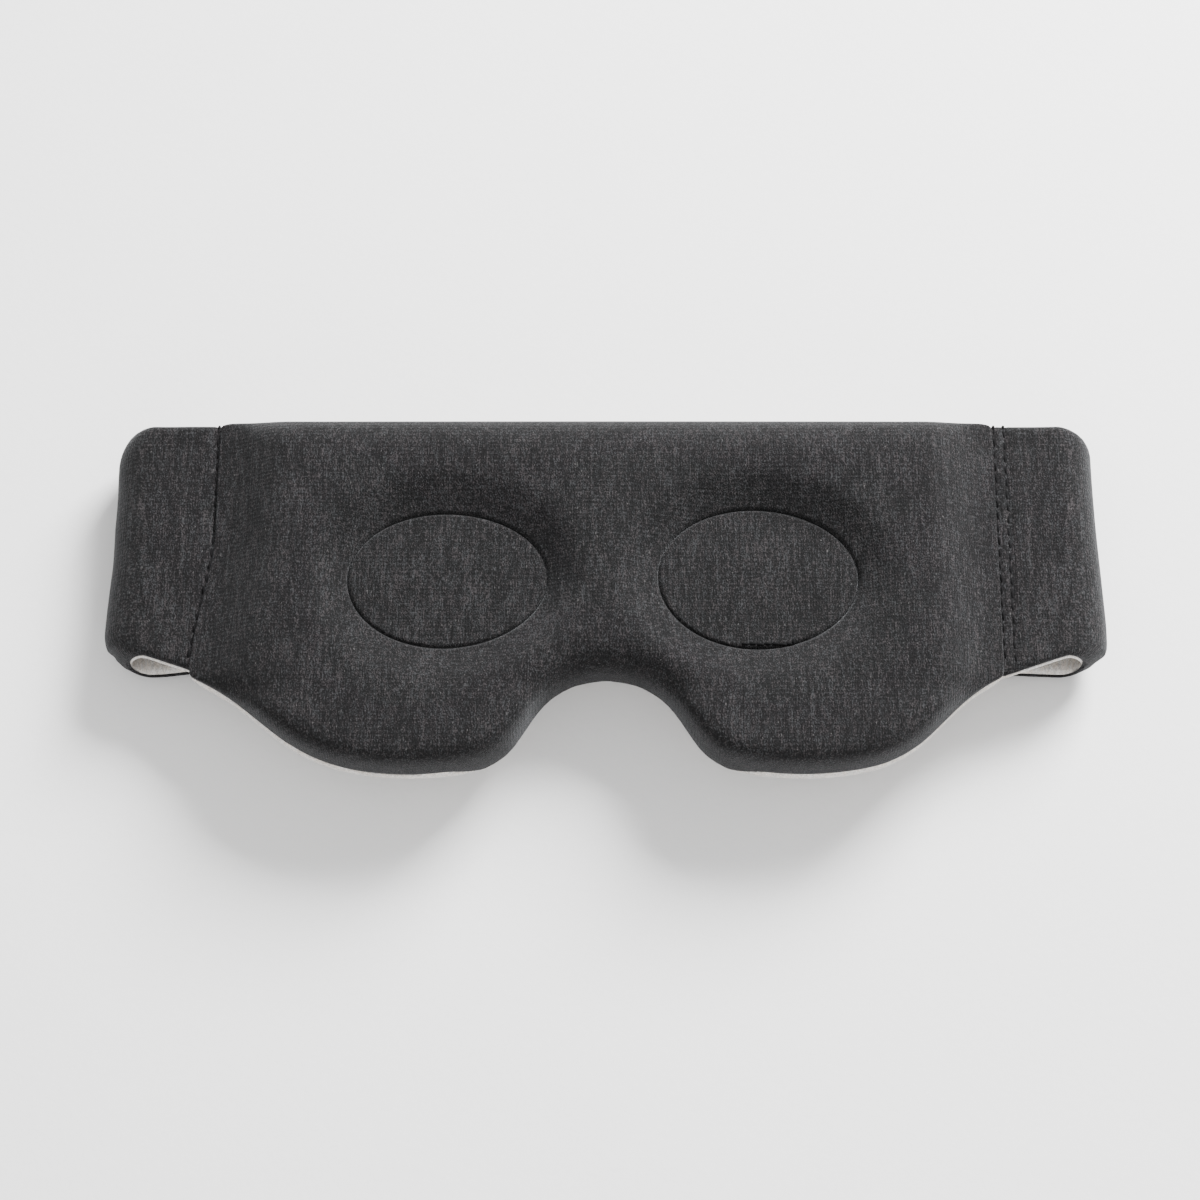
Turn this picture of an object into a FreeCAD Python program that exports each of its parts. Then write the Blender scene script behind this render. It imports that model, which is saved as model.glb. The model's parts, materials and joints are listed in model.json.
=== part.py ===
"""Padded sleep eye mask with a wide hook-and-loop band, lying face up on its folded straps.

Frame: X across the face, Y up the face towards the forehead, Z out of the face. Z = 0 is the
surface that the folded straps lie on, and the origin is at the centre of the mask on it.
Units are millimetres.
"""
import FreeCAD, Part
import math
import os
import Sketcher
from FreeCAD import Placement, Rotation, Vector

doc = FreeCAD.newDocument("SleepMask")

# ---------------------------------------------------------------- driving dimensions

SIZES = [
    ("knit", 0.8, "thickness of the outer knit and of the lining"),
    ("band_thick", 4.0, "band with its knit, foam and lining"),
    ("panel_thick", 16.0, "padded front panel"),
    ("panel_top", 42.7, "upper edge of the panel"),
    ("edge_round", 7.6, "rounding of the panel's front edge"),
    ("back_round", 3.0, "rounding of the panel's lining edge"),
    ("front_shoulder", 14.0, "side seam to where the panel's front is flat"),
    ("back_shoulder", 8.0, "side seam to where the panel's back is flat"),
    ("nose_top", -20.5, "top of the nose arch"),
    ("nose_round", 20.0, "radius of the nose arch"),
    ("nose_turn", 55.0, "degrees that the edge turns down beside the nose"),
    ("nose_flat", 6.4, "straight edge beside the nose"),
    ("lobe_inner", 17.0, "radius of a cheek lobe's corner beside the nose"),
    ("lobe_turn", 12.0, "degrees that a lobe's low side turns each way"),
    ("lobe_round", 70.0, "radius of a lobe's low side"),
    ("lobe_outer", 32.0, "radius of a lobe's outer corner"),
    ("flank_turn", 42.0, "slope of the straight flank, in degrees"),
    ("flank_long", 8.3, "length of the straight flank"),
    ("flank_round", 42.0, "radius above the flank, up to the side seam"),
    ("seam_turn", 24.0, "slope of the lower edge at the side seam, in degrees"),
    ("eye_side", 36.3, "centre line to the middle of an eye oval"),
    ("eye_up", 1.0, "height of the middle of an eye oval"),
    ("eye_wide", 23.0, "half width of an eye oval"),
    ("eye_tall", 17.0, "half height of an eye oval"),
    ("dish_run", 9.0, "width of the slope round an eye oval"),
    ("dish_deep", 4.5, "depth of an eye oval below the panel's front"),
    ("eye_foam", 3.0, "foam behind an eye oval"),
    ("cup_flare", 4.0, "widening of an eye cavity towards the face"),
    ("wing_long", 15.0, "side seam to the centre of the band's fold"),
    ("band_drop", 0.9, "upper edge of the band below that of the panel"),
    ("band_rise", 5.1, "lower edge of the band above its seam's lower end"),
    ("fold_round", 9.5, "outer radius of the band's fold"),
    ("strap_tip", 44.0, "width of a strap at its tip"),
    ("left_gap", 1.0, "tip of the left strap to the centre line"),
    ("right_reach", 35.0, "right strap beyond the centre line"),
    ("ramp_flat", 1.5, "fold to the start of the left strap's ramp"),
    ("ramp_margin", 4.0, "loop patch to the end of the left strap's ramp"),
    ("lap_gap", 0.6, "clearance between the hook and loop faces"),
    ("panel_gap", 0.5, "clearance between the left strap and the panel"),
    ("loop_thick", 1.0, "loop patch"),
    ("loop_long", 72.0, "length of the loop patch"),
    ("patch_inset", 2.0, "edge of a tab or a strap's tip to its patch"),
    ("tab_thick", 1.0, "webbing of the closure tab"),
    ("tab_inset", 3.0, "side of the strap's tip to the side of the tab"),
    ("tab_long", 40.0, "length of the closure tab"),
    ("tab_gap", 0.6, "hinge clearance between the strap's end and the tab"),
    ("tab_round", 11.0, "corner radius of the tab"),
    ("hook_thick", 1.3, "hook patch"),
    ("hook_long", 30.0, "length of the hook patch"),
    ("thread", 0.5, "diameter of the sewing thread"),
    ("stitch_proud", 0.2, "height of a stitch above what it is sewn to"),
    ("stitch_long", 2.3, "length of one stitch"),
    ("stitch_pitch", 3.2, "distance from stitch to stitch"),
    ("stitch_rows", 1.3, "side seam to its row of stitches"),
]

# Sizes that follow from those, each from the ones above it.
DERIVED = [
    ("tab_level", "Sizes.band_thick - Sizes.hook_thick - Sizes.tab_thick"),
    ("hook_level", "Derived.tab_level + Sizes.tab_thick"),
    ("loop_level", "Sizes.band_thick + Sizes.lap_gap"),
    ("left_level", "Derived.loop_level + Sizes.loop_thick"),
    ("back_level", "Derived.left_level + Sizes.band_thick + Sizes.panel_gap"),
    ("front_level", "Derived.back_level + Sizes.panel_thick"),
    ("oval_level", "Derived.front_level - Sizes.dish_deep"),
    ("oval_foam_level", "Derived.oval_level - Sizes.knit"),
    ("cup_level", "Derived.oval_foam_level - Sizes.eye_foam"),
    ("wing_top", "2 * Sizes.fold_round"),
    ("wing_back", "Derived.wing_top - Sizes.band_thick"),
    ("seam_level", "Derived.wing_back + Sizes.knit"),
    ("fold_side", "Derived.seam_side + Sizes.wing_long"),
    ("band_high", "Sizes.panel_top - Sizes.band_drop"),
    ("band_low", "Derived.seam_low + Sizes.band_rise"),
    ("band_middle", "(Derived.band_low + Derived.band_high) / 2"),
    ("band_foam", "Sizes.band_thick - 2 * Sizes.knit"),
    ("ramp_start", "Derived.fold_side - Sizes.ramp_flat"),
    ("loop_start", "Sizes.left_gap + Sizes.patch_inset"),
    ("ramp_end", "Derived.loop_start + Sizes.loop_long + Sizes.ramp_margin"),
    ("tab_wide", "Sizes.strap_tip - 2 * Sizes.tab_inset"),
    ("patch_wide", "Derived.tab_wide - 2 * Sizes.patch_inset"),
    ("patch_round", "Sizes.tab_round - Sizes.patch_inset"),
    ("tab_start", "Sizes.right_reach + Sizes.tab_gap"),
    ("hook_start", "Derived.tab_start + Sizes.tab_long - Sizes.patch_inset - Sizes.hook_long"),
]

OVERSHOOT = 1       # how far a cutting solid passes the face that it opens

sheet = doc.addObject("Spreadsheet::Sheet", "Sizes")
for row, (alias, value, note) in enumerate(SIZES, 1):
    sheet.set(f"A{row}", note)
    sheet.set(f"B{row}", str(value))
    sheet.setAlias(f"B{row}", alias)
derived = doc.addObject("App::VarSet", "Derived")
doc.recompute()

PARTS = []          # every sub-part, in the order it is made


def size(alias):
    """The value of a driving dimension or of a derived one."""
    return float(getattr(derived, alias) if alias in derived.PropertiesList else sheet.get(alias))


def ref(alias):
    """The same dimension, as an expression to bind."""
    return f"Derived.{alias}" if alias in derived.PropertiesList else f"Sizes.{alias}"


def derive(alias):
    derived.addProperty("App::PropertyFloat", alias)


def bind(item, **expressions):
    """Bind properties to expressions: a double underscore in a property's name stands for a dot."""
    for name, expression in expressions.items():
        item.setExpression(name.replace("__", "."), expression)
    return item


def label(item, name):
    """Name a finished sub-part, so that it is exported."""
    item.Label = name
    PARTS.append(item)
    return item


# ---------------------------------------------------------------- the panel's lower edge

def walk(start, steps):
    """Edges that follow one another tangentially, first along +X.

    Each step is (length,) for a straight edge or (radius, turn in degrees) for an arc.
    """
    point, angle, edges = Vector(start), 0, []
    for step in steps:
        forward = Vector(math.cos(angle), math.sin(angle), 0)
        if len(step) == 1:
            finish = point + forward * step[0]
            edges.append(Part.makeLine(point, finish))
        else:
            radius, turn = step
            inward = Vector(-forward.y, forward.x, 0) * math.copysign(radius, turn)
            centre = point + inward
            middle = centre - Rotation(Vector(0, 0, 1), turn / 2).multVec(inward)
            finish = centre - Rotation(Vector(0, 0, 1), turn).multVec(inward)
            edges.append(Part.Arc(point, middle, finish).toShape())
            angle += math.radians(turn)
        point = finish
    return edges, point


# Right half of the lower edge, from the nose arch round a cheek lobe to the side seam.
right_edges, seam_foot = walk(Vector(0, size("nose_top"), 0), [
    (size("nose_round"), -size("nose_turn")),
    (size("nose_flat"),),
    (size("lobe_inner"), size("nose_turn") - size("lobe_turn")),
    (size("lobe_round"), 2 * size("lobe_turn")),
    (size("lobe_outer"), size("flank_turn") - size("lobe_turn")),
    (size("flank_long"),),
    (size("flank_round"), size("seam_turn") - size("flank_turn")),
])
derive("seam_side")
derive("seam_low")
derived.seam_side = seam_foot.x
derived.seam_low = seam_foot.y
for alias, formula in DERIVED:
    derive(alias)
    derived.setExpression(alias, formula)
doc.recompute()


# ---------------------------------------------------------------- solids from outlines

def feature(name, shape):
    item = doc.addObject("Part::Feature", name)
    item.Shape = shape
    return item


def extrude(name, outline, length, base="0", along=Vector(0, 0, 1)):
    """Extrude an outline; its length and, for one on the XY plane, its level are expressions."""
    item = doc.addObject("Part::Extrusion", name)
    item.Base = outline
    item.DirMode = "Custom"
    item.Dir = along
    item.Solid = True
    bind(item, LengthFwd=length)
    if along.z:
        bind(item, Placement__Base__z=base)
    return item


def cut(name, base, tool):
    item = doc.addObject("Part::Cut", name)
    item.Base = base
    item.Tool = tool
    return item


def common(name, *shapes):
    item = doc.addObject("Part::MultiCommon", name)
    item.Shapes = list(shapes)
    return item


def fuse(name, *shapes):
    item = doc.addObject("Part::MultiFuse", name)
    item.Shapes = list(shapes)
    return item


def mirror(name, source):
    """The same piece on the left side."""
    item = doc.addObject("Part::Mirroring", name)
    item.Source = source
    item.Normal = Vector(1, 0, 0)
    return item


def ellipse(name, side, wide, tall, height):
    """An ellipse round an eye. Every argument but the name is an expression."""
    item = doc.addObject("Part::Ellipse", name)
    return bind(item, MajorRadius=wide, MinorRadius=tall, Placement__Base__x=side,
                Placement__Base__y=ref("eye_up"), Placement__Base__z=height)


def loft(name, lower, upper):
    item = doc.addObject("Part::Loft", name)
    item.Sections = [lower, upper]
    item.Solid = True
    item.Ruled = True
    return item


def face_of(*edges):
    """A flat face inside edges that follow one another."""
    return Part.Face(Part.Wire(Part.__sortEdges__(list(edges))))


# ---------------------------------------------------------------- the panel's form

def panel_wire():
    """The panel's outline, symmetric about the centre line."""
    left_edges = [edge.mirror(Vector(0, 0, 0), Vector(1, 0, 0)) for edge in right_edges]
    top_right = Vector(size("seam_side"), size("panel_top"), 0)
    top_left = Vector(-top_right.x, top_right.y, 0)
    left_foot = Vector(-seam_foot.x, seam_foot.y, 0)
    sides = [
        Part.makeLine(seam_foot, top_right),
        Part.makeLine(top_right, top_left),
        Part.makeLine(top_left, left_foot),
    ]
    return Part.Wire(Part.__sortEdges__(left_edges + right_edges + sides))


def side_section(inset):
    """The panel seen from below: flat, with both faces drawn in to the band at the side seams."""
    half = size("seam_side") - inset
    front, back = size("front_level") - inset, size("back_level") + inset
    seam_front, seam_back = size("wing_top") - inset, size("wing_back") + inset
    low = -2 * size("panel_top")

    def shoulder(run, level, seam_level, side):
        """An arc that leaves the flat face level and ends at the seam, as three points."""
        drop = level - seam_level
        radius = (run ** 2 + drop ** 2) / (2 * drop)
        half_turn = math.atan2(abs(drop), run)
        start = Vector(side * (half - run), low, level)
        middle = start + Vector(side * abs(radius) * math.sin(half_turn), 0,
                                radius * (math.cos(half_turn) - 1))
        return start, middle, Vector(side * half, low, seam_level)

    right_front = shoulder(size("front_shoulder"), front, seam_front, 1)
    left_front = shoulder(size("front_shoulder"), front, seam_front, -1)
    right_back = shoulder(size("back_shoulder"), back, seam_back, 1)
    left_back = shoulder(size("back_shoulder"), back, seam_back, -1)
    arcs = [Part.Arc(*points).toShape() for points in (right_front, left_front, right_back, left_back)]
    return face_of(*arcs, Part.makeLine(right_front[0], left_front[0]),
                   Part.makeLine(left_front[2], left_back[2]), Part.makeLine(left_back[0], right_back[0]),
                   Part.makeLine(right_back[2], right_front[2]))


def rounded(name, source, top_radius, bottom_radius):
    """Round the upper and lower rims of an extruded outline, but not at its two upright ends."""
    doc.recompute()
    box = source.Shape.BoundBox
    rims = []
    for number, edge in enumerate(source.Shape.Edges, 1):
        edge_box = edge.BoundBox
        if edge_box.ZLength > 1e-6 or edge_box.XLength < 1e-6:
            continue
        radius = top_radius if edge_box.ZMin > box.Center.z else bottom_radius
        rims.append((number, radius, radius))
    item = doc.addObject("Part::Fillet", name)
    item.Base = source
    item.Edges = rims
    return item


def panel_form(name, outline, inset):
    """The panel's outer form, or the form inside its knit, inset by the knit's thickness."""
    block = extrude(f"{name}Block", outline, f"{ref('panel_thick')} - 2 * {inset}",
                    f"{ref('back_level')} + {inset}")
    thin = size("knit") if inset != "0" else 0
    rims = rounded(f"{name}Rims", block, size("edge_round") - thin, size("back_round") - thin)
    section = feature(f"{name}Section", side_section(thin))
    drawn_in = extrude(f"{name}DrawnIn", section, f"4 * {ref('panel_top')}", along=Vector(0, 1, 0))
    return common(f"{name}Form", rims, drawn_in)


panel_outline = feature("PanelOutline", panel_wire())
foam_outline = doc.addObject("Part::Offset2D", "FoamOutline")
foam_outline.Source = panel_outline
bind(foam_outline, Value=f"-{ref('knit')}")
panel = panel_form("Panel", panel_outline, "0")
foam = panel_form("Foam", foam_outline, ref("knit"))


# ---------------------------------------------------------------- the eyes

def eye(name, sign):
    """The cutting solids and the sub-parts of one eye; sign is '' on the right and '-' on the left."""
    side = f"{sign}{ref('eye_side')}"
    wide, tall = ref("eye_wide"), ref("eye_tall")
    knit, cup_level = ref("knit"), ref("cup_level")
    # The dish's slope goes on past the front, so that it opens it cleanly.
    rise = f"({ref('dish_deep')} + {OVERSHOOT})"
    run = f"{ref('dish_run')} * {rise} / {ref('dish_deep')}"

    def dish(part, floor):
        return loft(f"{name}{part}", ellipse(f"{name}{part}Floor", side, wide, tall, floor),
                    ellipse(f"{name}{part}Rim", side, f"{wide} + {run}", f"{tall} + {run}",
                            f"{floor} + {rise}"))

    def cup(part, inset, ceiling):
        return loft(f"{name}{part}",
                    ellipse(f"{name}{part}Mouth", side, f"{wide} + {ref('cup_flare')} - {inset}",
                            f"{tall} + {ref('cup_flare')} - {inset}", ref("back_level")),
                    ellipse(f"{name}{part}Ceiling", side, f"{wide} - {inset}", f"{tall} - {inset}", ceiling))

    oval = ellipse(f"{name}Oval", side, wide, tall, "0")
    window = extrude(f"{name}Window", oval, f"{ref('front_level')} - {cup_level}", cup_level)
    cavity = cup("Cup", "0", cup_level)
    hollow = cup("Hollow", knit, f"{cup_level} - {knit}")

    lower = name.lower()
    label(extrude(f"{name}EyePanel", oval, knit, ref("oval_foam_level")), f"{lower}_eye_panel")
    label(extrude(f"{name}EyeFoam", oval, ref("eye_foam"), cup_level), f"{lower}_eye_foam")
    label(cut(f"{name}EyeCup", cavity, hollow), f"{lower}_eye_cup_lining")

    # The thread lies in the seam, just inside the oval's edge.
    radius = size("thread") / 2
    major, minor = size("eye_wide") - 2 * radius, size("eye_tall") - 2 * radius
    path = Part.Wire([Part.Ellipse(Vector(0, 0, 0), major, minor).toShape()])
    start = Part.Wire([Part.Circle(Vector(major, 0, 0), Vector(0, 1, 0), radius).toShape()])
    thread = feature(f"{name}EyeThread", path.makePipeShell([start], True, True))
    thread.Placement = Placement(Vector(size("eye_side") * (-1 if sign else 1), size("eye_up"),
                                        size("oval_level") + radius), Rotation())
    label(thread, f"{lower}_eye_seam_thread")
    return dish("Dish", ref("oval_level")), dish("FoamDish", ref("oval_foam_level")), window, cavity


right_eye = eye("Right", "")
left_eye = eye("Left", "-")
dishes, foam_dishes, windows, cups = (
    fuse(name, right, left)
    for name, right, left in zip(("Dishes", "FoamDishes", "Windows", "Cups"), right_eye, left_eye))


# ---------------------------------------------------------------- the padded panel

def slab(name, low, high):
    """A block wider than the mask, between two levels."""
    item = doc.addObject("Part::Box", name)
    return bind(item, Length=f"2 * {ref('fold_side')}", Width=f"4 * {ref('panel_top')}",
                Height=f"{high} - ({low})", Placement__Base__x=f"-{ref('fold_side')}",
                Placement__Base__y=f"-2 * {ref('panel_top')}", Placement__Base__z=low)


dished_panel = cut("DishedPanel", panel, dishes)
dished_foam = cut("DishedFoam", foam, foam_dishes)
shell = cut("PanelShell", dished_panel, dished_foam)

above_seam = slab("AboveSeam", ref("seam_level"), f"({ref('front_level')} + {OVERSHOOT})")
label(common("FrontCover", cut("OpenShell", shell, windows), above_seam), "front_cover")

below_seam = slab("BelowSeam", f"{ref('back_level')} - {OVERSHOOT}", ref("seam_level"))
label(common("FaceLining", cut("LinedShell", shell, cups), below_seam), "face_lining")

windowed_foam = cut("WindowedFoam", dished_foam, windows)
label(cut("FoamCore", windowed_foam, cups), "foam_core")


# ---------------------------------------------------------------- wings and folds of the band

def wing_face():
    """The band between the side seam and the fold, seen from the front."""
    fold_foot = Vector(size("fold_side"), size("band_low"), 0)
    seam_top = Vector(size("seam_side"), size("band_high"), 0)
    fold_top = Vector(size("fold_side"), size("band_high"), 0)
    slope = math.radians(size("seam_turn"))
    sweep = Part.BSplineCurve()
    sweep.interpolate(Points=[seam_foot, fold_foot], FinalTangent=Vector(1, 0, 0),
                      InitialTangent=Vector(math.cos(slope), math.sin(slope), 0))
    return face_of(sweep.toShape(), Part.makeLine(fold_foot, fold_top),
                   Part.makeLine(fold_top, seam_top), Part.makeLine(seam_top, seam_foot))


def fold_face(inner, outer):
    """Half a ring between two radii, seen along the band's lower edge."""
    centre = Vector(size("fold_side"), size("band_low"), size("fold_round"))

    def at(radius, degrees):
        angle = math.radians(degrees)
        return centre + Vector(radius * math.cos(angle), 0, radius * math.sin(angle))

    def arc(radius):
        return Part.Arc(at(radius, 90), at(radius, 0), at(radius, -90)).toShape()

    return face_of(arc(inner), arc(outer), Part.makeLine(at(inner, 90), at(outer, 90)),
                   Part.makeLine(at(inner, -90), at(outer, -90)))


# The band's layers from its outer face inwards, with the dimension that is each one's thickness.
LAYERS = [("cover", "knit"), ("foam", "band_foam"), ("lining", "knit")]


def band_layers():
    """Each layer's name and thickness, with the depth of its outer face as an expression and a value."""
    depth, depth_value = "0", 0
    for layer, thick in LAYERS:
        yield layer, thick, depth, depth_value
        depth, depth_value = f"{depth} + {ref(thick)}", depth_value + size(thick)


wing_outline = feature("WingOutline", wing_face())
for layer, thick, depth, depth_value in band_layers():
    wing = extrude(f"RightWing{layer}", wing_outline, ref(thick),
                   f"{ref('wing_top')} - ({depth} + {ref(thick)})")
    label(wing, f"right_wing_{layer}")
    label(mirror(f"LeftWing{layer}", wing), f"left_wing_{layer}")
    outer = size("fold_round") - depth_value
    section = feature(f"FoldSection{layer}", fold_face(outer - size(thick), outer))
    fold = extrude(f"RightFold{layer}", section, f"{ref('band_high')} - ({ref('band_low')})",
                   along=Vector(0, 1, 0))
    label(fold, f"right_fold_{layer}")
    label(mirror(f"LeftFold{layer}", fold), f"left_fold_{layer}")


# ---------------------------------------------------------------- straps

def strap_face(root, tip):
    """A strap seen from the front, tapering from the fold to its tip."""
    middle, half = size("band_middle"), size("strap_tip") / 2
    corners = [Vector(root, size("band_low"), 0), Vector(tip, middle - half, 0),
               Vector(tip, middle + half, 0), Vector(root, size("band_high"), 0)]
    return Part.Face(Part.makePolygon(corners + corners[:1]))


def ramp_line(height):
    """Side view of one face of the left strap: flat from the fold, up the ramp, and flat to the tip."""
    def at(side, lift):
        return Vector(-side, size("band_low") - OVERSHOOT, height + lift)

    lift = size("left_level")
    fold, foot = at(size("fold_side"), 0), at(size("ramp_start"), 0)
    head, tip = at(size("ramp_end"), lift), at(size("left_gap"), lift)
    ramp = Part.BSplineCurve()
    ramp.interpolate(Points=[foot, head], InitialTangent=Vector(1, 0, 0), FinalTangent=Vector(1, 0, 0))
    return [Part.makeLine(fold, foot), ramp.toShape(), Part.makeLine(head, tip)], fold, tip


def ramp_face(bottom, top):
    """Side view of one layer of the left strap."""
    lower, lower_fold, lower_tip = ramp_line(bottom)
    upper, upper_fold, upper_tip = ramp_line(top)
    return face_of(*lower, *upper, Part.makeLine(lower_fold, upper_fold),
                   Part.makeLine(lower_tip, upper_tip))


right_outline = feature("RightStrapOutline", strap_face(size("fold_side"), -size("right_reach")))
left_outline = feature("LeftStrapOutline", strap_face(-size("fold_side"), -size("left_gap")))
left_plan = extrude("LeftStrapPlan", left_outline, ref("back_level"))
for layer, thick, depth, depth_value in band_layers():
    label(extrude(f"RightStrap{layer}", right_outline, ref(thick), depth), f"right_strap_{layer}")
    section = feature(f"StrapSection{layer}", ramp_face(depth_value, depth_value + size(thick)))
    side_on = extrude(f"StrapSideOn{layer}", section,
                      f"{ref('band_high')} - ({ref('band_low')}) + {2 * OVERSHOOT}", along=Vector(0, 1, 0))
    label(common(f"LeftStrap{layer}", left_plan, side_on), f"left_strap_{layer}")


# ---------------------------------------------------------------- closure

def flat_pad(name, length, width, thick, start, base, corner=None):
    """A flat rectangular pad that runs towards -X from x = -start, rounded at its far end."""
    body = doc.addObject("PartDesign::Body", name)
    plane = next(item for item in body.Origin.OriginFeatures if item.Role == "XY_Plane")
    sketch = body.newObject("Sketcher::SketchObject", f"{name}Sketch")
    sketch.AttachmentSupport = [(plane, "")]
    sketch.MapMode = "FlatFace"
    long, half = size(length), size(width) / 2
    points = [Vector(0, -half, 0), Vector(0, half, 0), Vector(-long, half, 0), Vector(-long, -half, 0)]
    for first, last in zip(points, points[1:] + points[:1]):
        sketch.addGeometry(Part.LineSegment(first, last))
    for number in range(4):
        sketch.addConstraint(Sketcher.Constraint("Coincident", number, 2, (number + 1) % 4, 1))
    for number, kind in enumerate(["Vertical", "Horizontal", "Vertical", "Horizontal"]):
        sketch.addConstraint(Sketcher.Constraint(kind, number))
    sketch.addConstraint(Sketcher.Constraint("Symmetric", 0, 1, 0, 2, -1, 1))
    wide = sketch.addConstraint(Sketcher.Constraint("DistanceY", 0, 1, 0, 2, 2 * half))
    deep = sketch.addConstraint(Sketcher.Constraint("DistanceX", 1, 2, 1, 1, long))
    sketch.setExpression(f"Constraints[{wide}]", ref(width))
    sketch.setExpression(f"Constraints[{deep}]", ref(length))
    pad = body.newObject("PartDesign::Pad", f"{name}Pad")
    pad.Profile = sketch
    bind(pad, Length=ref(thick))
    if corner:
        doc.recompute()
        ends = [f"Edge{number}" for number, edge in enumerate(pad.Shape.Edges, 1)
                if edge.BoundBox.XMax < -long + 1e-6 and edge.BoundBox.ZLength > 1e-6]
        rounding = body.newObject("PartDesign::Fillet", f"{name}Corners")
        rounding.Base = (pad, ends)
        bind(rounding, Radius=ref(corner))
    return bind(body, Placement__Base__x=f"-({start})", Placement__Base__y=ref("band_middle"),
                Placement__Base__z=ref(base))


label(flat_pad("ClosureTab", "tab_long", "tab_wide", "tab_thick", ref("tab_start"), "tab_level",
               "tab_round"), "closure_tab")
label(flat_pad("HookPatch", "hook_long", "patch_wide", "hook_thick", ref("hook_start"), "hook_level",
               "patch_round"), "hook_patch")
label(flat_pad("LoopPatch", "loop_long", "patch_wide", "loop_thick", ref("loop_start"), "loop_level"),
      "loop_patch")


# ---------------------------------------------------------------- stitches

def stitch_row(start, finish, base):
    """A row of stitches from start to finish, each lying on the level base."""
    run = finish - start
    count = int(run.Length // size("stitch_pitch"))
    margin = (run.Length - (count - 1) * size("stitch_pitch") - size("stitch_long")) / 2
    along = Vector(run).normalize()
    turn = Rotation(Vector(1, 0, 0), along)
    stitches = []
    for number in range(count):
        stitch = Part.makeBox(size("stitch_long"), size("thread"), size("stitch_proud"),
                              Vector(0, -size("thread") / 2, 0))
        place = start + along * (margin + number * size("stitch_pitch"))
        stitch.Placement = Placement(Vector(place.x, place.y, base), turn)
        stitches.append(stitch)
    return stitches


def side_stitches(side):
    """The row of stitches beside a side seam, on the band's cover."""
    x = side * (size("seam_side") + size("stitch_rows"))
    return stitch_row(Vector(x, size("band_low"), 0), Vector(x, size("band_high"), 0), size("wing_top"))


def patch_stitches(start, finish, base):
    """Stitches along both long edges of a patch, hanging below the level base."""
    half = size("patch_wide") / 2 - 2 * size("thread")
    rows = []
    for y in (size("band_middle") - half, size("band_middle") + half):
        rows += stitch_row(Vector(-finish, y, 0), Vector(-start, y, 0), base - size("stitch_proud"))
    return rows


loop_rows = patch_stitches(size("loop_start"), size("loop_start") + size("loop_long"), size("loop_level"))
hook_rows = patch_stitches(size("hook_start"), size("hook_start") + size("hook_long") - size("patch_round"),
                           size("tab_level"))
for name, stitches in [("right_side_stitches", side_stitches(1)), ("left_side_stitches", side_stitches(-1)),
                       ("loop_patch_stitches", loop_rows), ("hook_patch_stitches", hook_rows)]:
    label(feature(name.title().replace("_", ""), Part.makeCompound(stitches)), name)


# ---------------------------------------------------------------- check and write

doc.recompute()
broken = [item.Name for item in doc.Objects if "Invalid" in item.State or "Error" in item.State]
if broken:
    raise SystemExit(f"failed objects: {broken}")
for item in PARTS:
    if item.Shape.isNull() or not item.Shape.isValid() or not item.Shape.Solids:
        raise SystemExit(f"{item.Label} has no valid solid")

os.makedirs("parts", exist_ok=True)
for item in PARTS:
    item.Shape.exportStep(os.path.join("parts", f"{item.Label}.step"))
    box = item.Shape.BoundBox
    print(f"{item.Label:24s} {len(item.Shape.Solids):3d} solids {item.Shape.Volume:9.1f} mm3"
          f"  x {box.XMin:7.1f} {box.XMax:7.1f}  y {box.YMin:6.1f} {box.YMax:6.1f}"
          f"  z {box.ZMin:5.1f} {box.ZMax:5.1f}")
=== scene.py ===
import bpy
import json
import math
import numpy as np
from mathutils import Matrix, Vector, noise

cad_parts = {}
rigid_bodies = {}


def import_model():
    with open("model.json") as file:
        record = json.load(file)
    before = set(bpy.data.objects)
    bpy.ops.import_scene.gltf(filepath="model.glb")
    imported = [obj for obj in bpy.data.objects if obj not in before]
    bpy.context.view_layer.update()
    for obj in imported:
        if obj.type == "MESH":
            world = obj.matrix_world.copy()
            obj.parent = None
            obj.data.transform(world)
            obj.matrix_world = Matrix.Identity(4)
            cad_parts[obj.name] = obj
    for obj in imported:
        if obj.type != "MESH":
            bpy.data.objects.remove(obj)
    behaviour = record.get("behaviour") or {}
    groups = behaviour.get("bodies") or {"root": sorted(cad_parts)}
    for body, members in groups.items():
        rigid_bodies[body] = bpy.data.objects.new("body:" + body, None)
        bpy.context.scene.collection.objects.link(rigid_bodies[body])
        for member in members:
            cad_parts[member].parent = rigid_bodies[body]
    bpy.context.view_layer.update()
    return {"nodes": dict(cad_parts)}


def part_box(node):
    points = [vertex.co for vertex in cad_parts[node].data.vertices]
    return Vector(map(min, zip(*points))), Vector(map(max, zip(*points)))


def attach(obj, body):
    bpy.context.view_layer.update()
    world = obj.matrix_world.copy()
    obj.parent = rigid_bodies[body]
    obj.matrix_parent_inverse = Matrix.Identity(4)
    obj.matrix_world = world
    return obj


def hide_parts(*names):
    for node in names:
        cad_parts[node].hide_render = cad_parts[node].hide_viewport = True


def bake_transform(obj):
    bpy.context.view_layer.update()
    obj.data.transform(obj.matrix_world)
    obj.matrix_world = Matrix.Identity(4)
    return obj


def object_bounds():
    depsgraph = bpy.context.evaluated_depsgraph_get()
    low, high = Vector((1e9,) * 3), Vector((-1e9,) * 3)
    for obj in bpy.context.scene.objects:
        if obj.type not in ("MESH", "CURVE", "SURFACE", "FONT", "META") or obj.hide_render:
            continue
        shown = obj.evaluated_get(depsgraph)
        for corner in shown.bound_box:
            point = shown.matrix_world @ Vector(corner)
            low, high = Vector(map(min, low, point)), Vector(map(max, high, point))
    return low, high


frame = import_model()
nodes = frame["nodes"]
mm = 0.001
weld = 0.02 * mm      # points nearer than this are merged
print("frame loaded:", len(nodes), "CAD nodes")


# small helpers for objects and their points

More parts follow.
